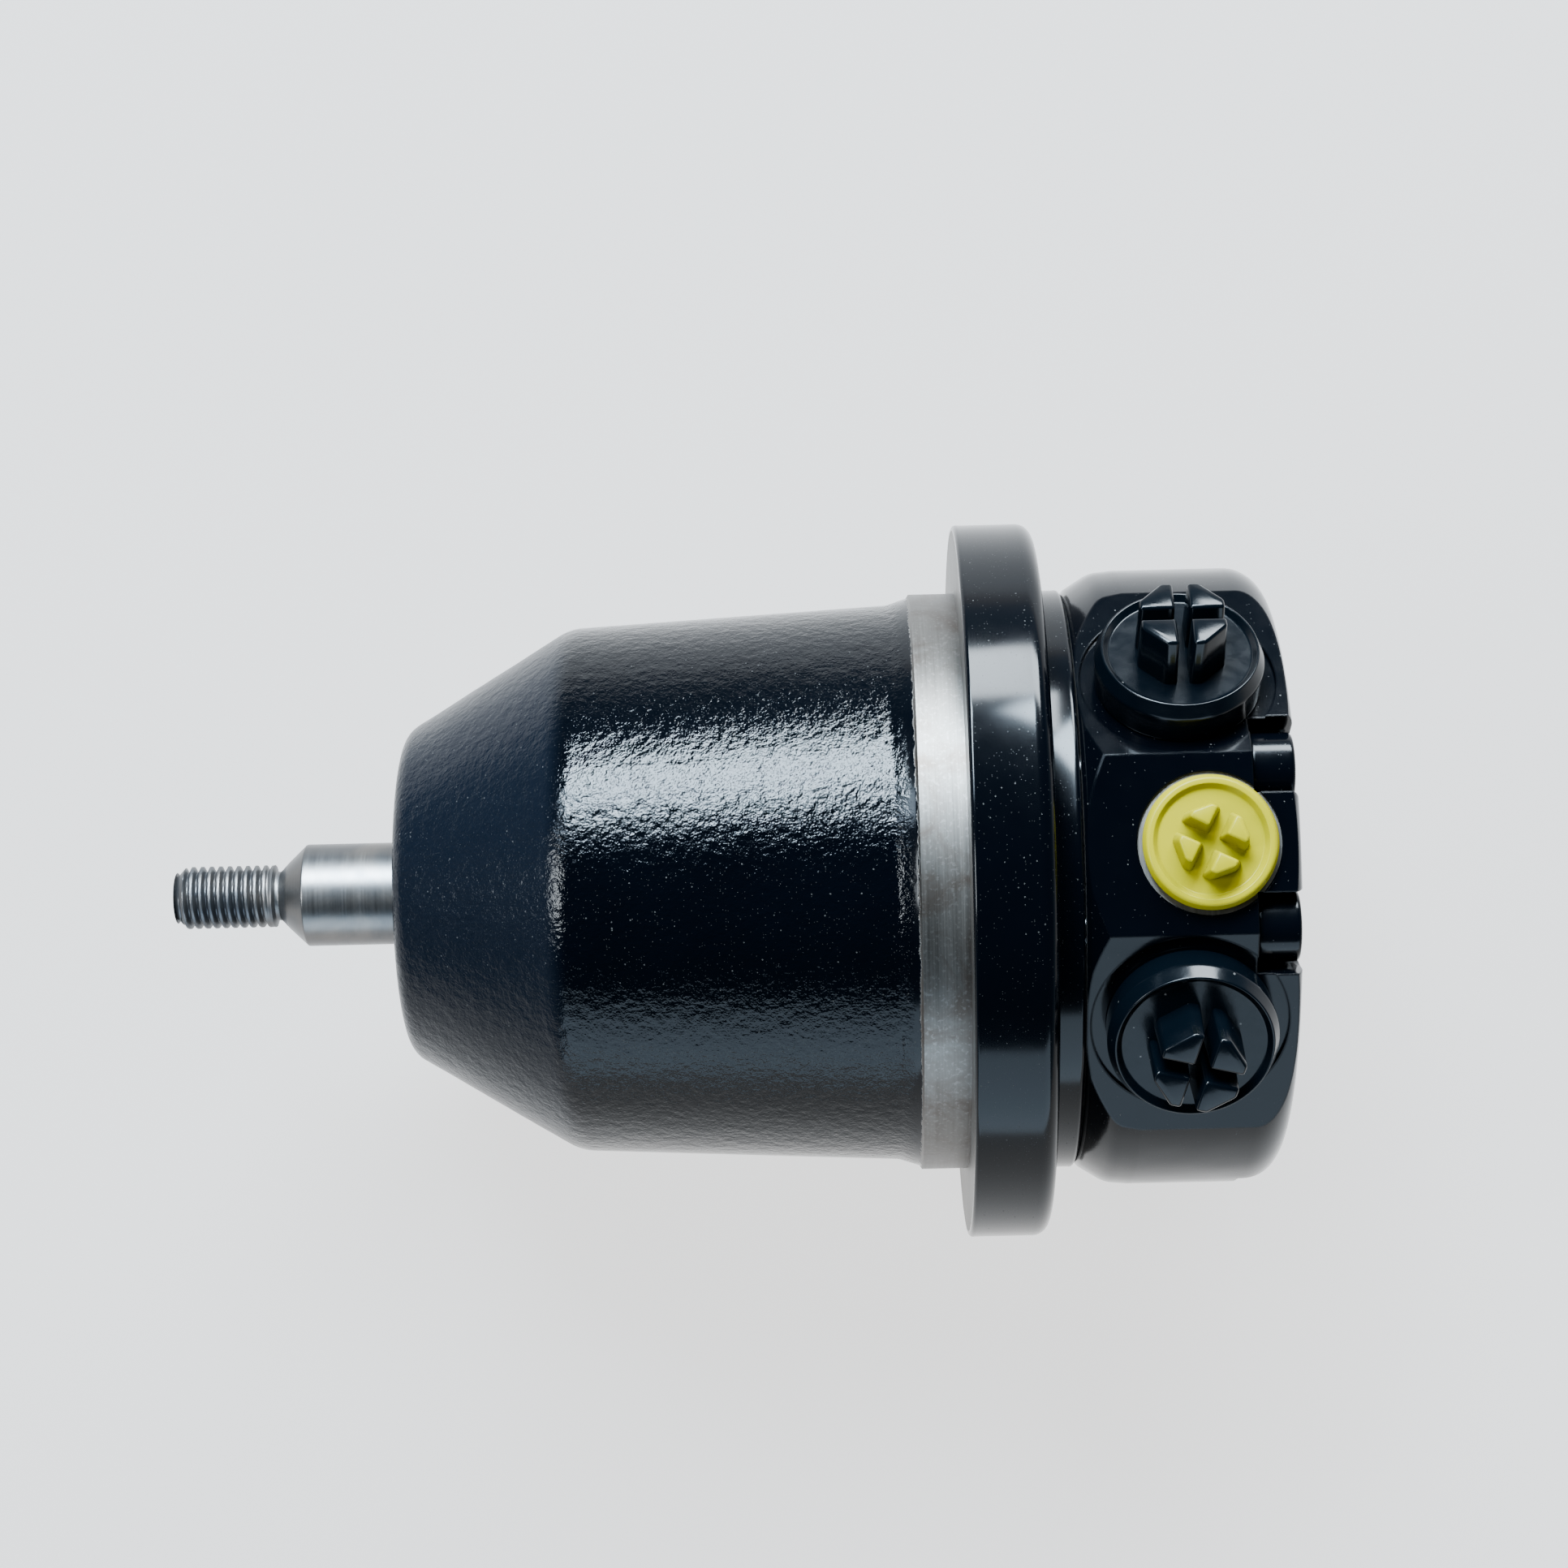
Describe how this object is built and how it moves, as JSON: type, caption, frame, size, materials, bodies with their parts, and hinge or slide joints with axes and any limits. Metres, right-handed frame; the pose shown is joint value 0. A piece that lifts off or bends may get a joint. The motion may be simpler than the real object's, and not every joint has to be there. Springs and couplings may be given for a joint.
{
  "type": "hydraulic motor",
  "caption": "Axial piston hydraulic motor with a conical-nosed housing, machined pilot ring, round flange, threaded shaft end and a rear port plate with plugged ports.",
  "frame": {"origin": "centre of the flange's mounting face, on the shaft axis, inside the pilot ring", "axes": "+X along the shaft towards the port plate, so the shaft end is at -X; +Z towards the drain port; +Y towards pressure port A"},
  "size_m": [0.2092, 0.136, 0.136],
  "materials": {
    "black_paint": "gloss black enamel over cast iron, rough cast on the body",
    "painted_screw": "gloss black enamel over a steel cap screw",
    "ground_steel": "ground and polished",
    "bearing_steel": "ground",
    "machined_iron": "machined",
    "bronze": "machined",
    "rubber": "matte",
    "black_plastic": "semi-gloss moulded",
    "yellow_plastic": "satin moulded"
  },
  "bodies": {
    "casing": {"housing": "black_paint", "port_plate": "black_paint", "shaft_seal": "rubber", "seal_retaining_ring": "bearing_steel", "front_bearing_outer_race": "bearing_steel", "rear_bearing_outer_race": "bearing_steel", "swash_plate": "machined_iron", "valve_plate": "bronze", "joint_o_ring": "rubber", "port_a_plug": "black_plastic", "port_b_plug": "black_plastic", "drain_plug": "yellow_plastic", "cover_screw_1": "painted_screw", "cover_screw_2": "painted_screw", "cover_screw_3": "painted_screw", "cover_screw_4": "painted_screw", "cover_screw_5": "painted_screw", "cover_screw_6": "painted_screw"},
    "rotor": {"drive_shaft": "ground_steel", "cylinder_block": "machined_iron", "retaining_plate": "machined_iron", "ball_guide": "machined_iron", "spring_front_washer": "bearing_steel", "spring_rear_washer": "bearing_steel", "block_spring": "bearing_steel", "front_bearing_inner_race": "bearing_steel", "rear_bearing_inner_race": "bearing_steel"},
    "front_rollers": {"front_bearing_rollers": "bearing_steel"},
    "rear_rollers": {"rear_bearing_rollers": "bearing_steel"},
    "piston_1_body": {"piston_1": "bearing_steel", "slipper_1": "bronze"},
    "piston_2_body": {"piston_2": "bearing_steel", "slipper_2": "bronze"},
    "piston_3_body": {"piston_3": "bearing_steel", "slipper_3": "bronze"},
    "piston_4_body": {"piston_4": "bearing_steel", "slipper_4": "bronze"},
    "piston_5_body": {"piston_5": "bearing_steel", "slipper_5": "bronze"},
    "piston_6_body": {"piston_6": "bearing_steel", "slipper_6": "bronze"},
    "piston_7_body": {"piston_7": "bearing_steel", "slipper_7": "bronze"},
    "piston_8_body": {"piston_8": "bearing_steel", "slipper_8": "bronze"},
    "piston_9_body": {"piston_9": "bearing_steel", "slipper_9": "bronze"}
  },
  "joints": [
    {"name": "shaft_spin", "type": "hinge", "parent": "casing", "child": "rotor", "pos_m": [0, 0, 0], "axis": [1, 0, 0], "continuous": true},
    {"name": "front_rollers_spin", "type": "hinge", "parent": "casing", "child": "front_rollers", "pos_m": [-0.084, 0, 0], "axis": [1, 0, 0], "continuous": true},
    {"name": "rear_rollers_spin", "type": "hinge", "parent": "casing", "child": "rear_rollers", "pos_m": [0.0265, 0, 0], "axis": [1, 0, 0], "continuous": true},
    {"name": "piston_1_stroke", "type": "slide", "parent": "rotor", "child": "piston_1_body", "axis": [1, 0, 0], "range_m": [-0.0068, 0.0068]},
    {"name": "piston_2_stroke", "type": "slide", "parent": "rotor", "child": "piston_2_body", "axis": [1, 0, 0], "range_m": [-0.0068, 0.0068]},
    {"name": "piston_3_stroke", "type": "slide", "parent": "rotor", "child": "piston_3_body", "axis": [1, 0, 0], "range_m": [-0.0068, 0.0068]},
    {"name": "piston_4_stroke", "type": "slide", "parent": "rotor", "child": "piston_4_body", "axis": [1, 0, 0], "range_m": [-0.0068, 0.0068]},
    {"name": "piston_5_stroke", "type": "slide", "parent": "rotor", "child": "piston_5_body", "axis": [1, 0, 0], "range_m": [-0.0068, 0.0068]},
    {"name": "piston_6_stroke", "type": "slide", "parent": "rotor", "child": "piston_6_body", "axis": [1, 0, 0], "range_m": [-0.0068, 0.0068]},
    {"name": "piston_7_stroke", "type": "slide", "parent": "rotor", "child": "piston_7_body", "axis": [1, 0, 0], "range_m": [-0.0068, 0.0068]},
    {"name": "piston_8_stroke", "type": "slide", "parent": "rotor", "child": "piston_8_body", "axis": [1, 0, 0], "range_m": [-0.0068, 0.0068]},
    {"name": "piston_9_stroke", "type": "slide", "parent": "rotor", "child": "piston_9_body", "axis": [1, 0, 0], "range_m": [-0.0068, 0.0068]}
  ],
  "couplings": [
    {"joint": "front_rollers_spin", "follows": "shaft_spin", "ratio": 0.4467},
    {"joint": "rear_rollers_spin", "follows": "shaft_spin", "ratio": 0.441}
  ]
}
